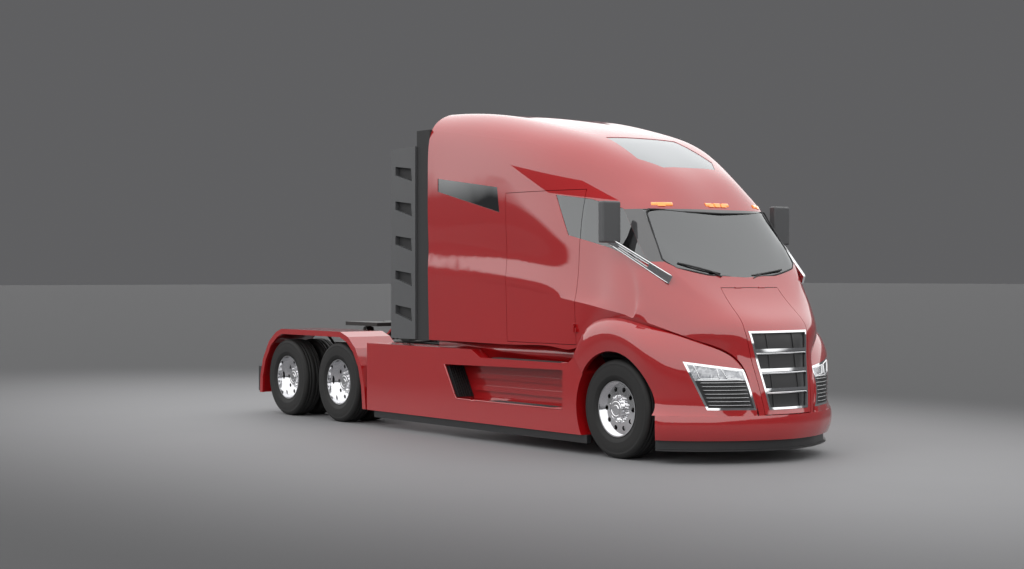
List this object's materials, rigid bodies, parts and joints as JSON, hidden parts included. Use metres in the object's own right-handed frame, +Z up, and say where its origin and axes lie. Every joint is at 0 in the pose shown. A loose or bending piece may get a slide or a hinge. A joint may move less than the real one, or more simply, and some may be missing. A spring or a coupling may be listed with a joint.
{
  "type": "semi truck tractor unit",
  "caption": "Streamlined sleeper-cab semi truck tractor unit with faired sides, chrome grille, arched rear fenders and a fifth wheel.",
  "frame": {"origin": "on the ground under the middle of the whole truck", "axes": "+X forward, +Y to the truck's left, +Z up"},
  "size_m": [9.1801, 2.79, 3.9198],
  "materials": {
    "red_paint": "glossy",
    "grey_panel": "satin",
    "black_trim": "matte",
    "chassis_steel": "satin",
    "chrome": "polished",
    "polished_alloy": "polished",
    "tyre": "matte",
    "tinted_glass": "clear",
    "lamp_glass": "clear",
    "amber_lens": "glossy",
    "rubber_seal": "matte",
    "cab_trim": "matte",
    "seat_cloth": "woven"
  },
  "bodies": {
    "chassis": {"battery_block": "chassis_steel", "bumper": "red_paint", "cab_cowl": "red_paint", "cab_floor": "cab_trim", "cab_rear_wall": "red_paint", "cab_roof": "red_paint", "cab_sides": "red_paint", "chassis_frame": "chassis_steel", "dashboard": "cab_trim", "drive_axles": "chassis_steel", "fifth_wheel_base": "chassis_steel", "fixed_side_glass": "tinted_glass", "front_axle": "chassis_steel", "front_fenders": "red_paint", "gap_fairings": "grey_panel", "gap_seals": "rubber_seal", "headlamp_frames": "chrome", "headlamps": "lamp_glass", "intake_louvres": "black_trim", "lamp_louvres": "black_trim", "marker_lamps": "amber_lens", "mirror_arms": "chrome", "mirror_heads": "grey_panel", "rear_fenders": "red_paint", "rear_panels": "black_trim", "seats": "seat_cloth", "side_skirts": "red_paint", "skylight": "tinted_glass", "splitter": "black_trim", "step_treads": "black_trim", "under_strips": "black_trim", "windscreen": "tinted_glass"},
    "knuckle_left": {"knuckle_left": "chassis_steel"},
    "knuckle_right": {"knuckle_right": "chassis_steel"},
    "front_wheel_left": {"front_tyre_left": "tyre", "front_rim_left": "polished_alloy"},
    "front_wheel_right": {"front_tyre_right": "tyre", "front_rim_right": "polished_alloy"},
    "door_left": {"door_left": "red_paint", "door_glass_left": "tinted_glass"},
    "door_right": {"door_right": "red_paint", "door_glass_right": "tinted_glass"},
    "hatch": {"hatch_panel": "red_paint", "grille_frame": "chrome", "grille_slats": "black_trim"},
    "fifth_wheel": {"fifth_wheel_plate": "chassis_steel"},
    "drive_wheel_1_left": {"drive_tyres_1_left": "tyre", "drive_rims_1_left": "polished_alloy"},
    "drive_wheel_1_right": {"drive_tyres_1_right": "tyre", "drive_rims_1_right": "polished_alloy"},
    "drive_wheel_2_left": {"drive_tyres_2_left": "tyre", "drive_rims_2_left": "polished_alloy"},
    "drive_wheel_2_right": {"drive_tyres_2_right": "tyre", "drive_rims_2_right": "polished_alloy"}
  },
  "joints": [
    {"name": "steer_left", "type": "hinge", "parent": "chassis", "child": "knuckle_left", "pos_m": [3.19, 0.93, 0.525], "axis": [0, 0, 1], "range_deg": [-38, 38]},
    {"name": "front_spin_left", "type": "hinge", "parent": "knuckle_left", "child": "front_wheel_left", "pos_m": [3.19, 1.1, 0.525], "axis": [0, 1, 0], "continuous": true},
    {"name": "drive_spin_1_left", "type": "hinge", "parent": "chassis", "child": "drive_wheel_1_left", "pos_m": [-2.46, 0.93, 0.525], "axis": [0, 1, 0], "continuous": true},
    {"name": "drive_spin_2_left", "type": "hinge", "parent": "chassis", "child": "drive_wheel_2_left", "pos_m": [-3.81, 0.93, 0.525], "axis": [0, 1, 0], "continuous": true},
    {"name": "door_hinge_left", "type": "hinge", "parent": "chassis", "child": "door_left", "pos_m": [2.548, 1.287, 1.9], "axis": [0, 0, -1], "range_deg": [0, 70]},
    {"name": "steer_right", "type": "hinge", "parent": "chassis", "child": "knuckle_right", "pos_m": [3.19, -0.93, 0.525], "axis": [0, 0, 1], "range_deg": [-38, 38]},
    {"name": "front_spin_right", "type": "hinge", "parent": "knuckle_right", "child": "front_wheel_right", "pos_m": [3.19, -1.1, 0.525], "axis": [0, 1, 0], "continuous": true},
    {"name": "drive_spin_1_right", "type": "hinge", "parent": "chassis", "child": "drive_wheel_1_right", "pos_m": [-2.46, -0.93, 0.525], "axis": [0, 1, 0], "continuous": true},
    {"name": "drive_spin_2_right", "type": "hinge", "parent": "chassis", "child": "drive_wheel_2_right", "pos_m": [-3.81, -0.93, 0.525], "axis": [0, 1, 0], "continuous": true},
    {"name": "door_hinge_right", "type": "hinge", "parent": "chassis", "child": "door_right", "pos_m": [2.548, -1.287, 1.9], "axis": [0, 0, 1], "range_deg": [0, 70]},
    {"name": "hatch_hinge", "type": "hinge", "parent": "chassis", "child": "hatch", "pos_m": [3.94, 0, 1.805], "axis": [0, -1, 0], "range_deg": [0, 60]},
    {"name": "fifth_wheel_tilt", "type": "hinge", "parent": "chassis", "child": "fifth_wheel", "pos_m": [-3.135, 0, 1.19], "axis": [0, 1, 0], "range_deg": [-12, 12]}
  ],
  "couplings": [
    {"joint": "steer_right", "follows": "steer_left", "ratio": 1}
  ]
}
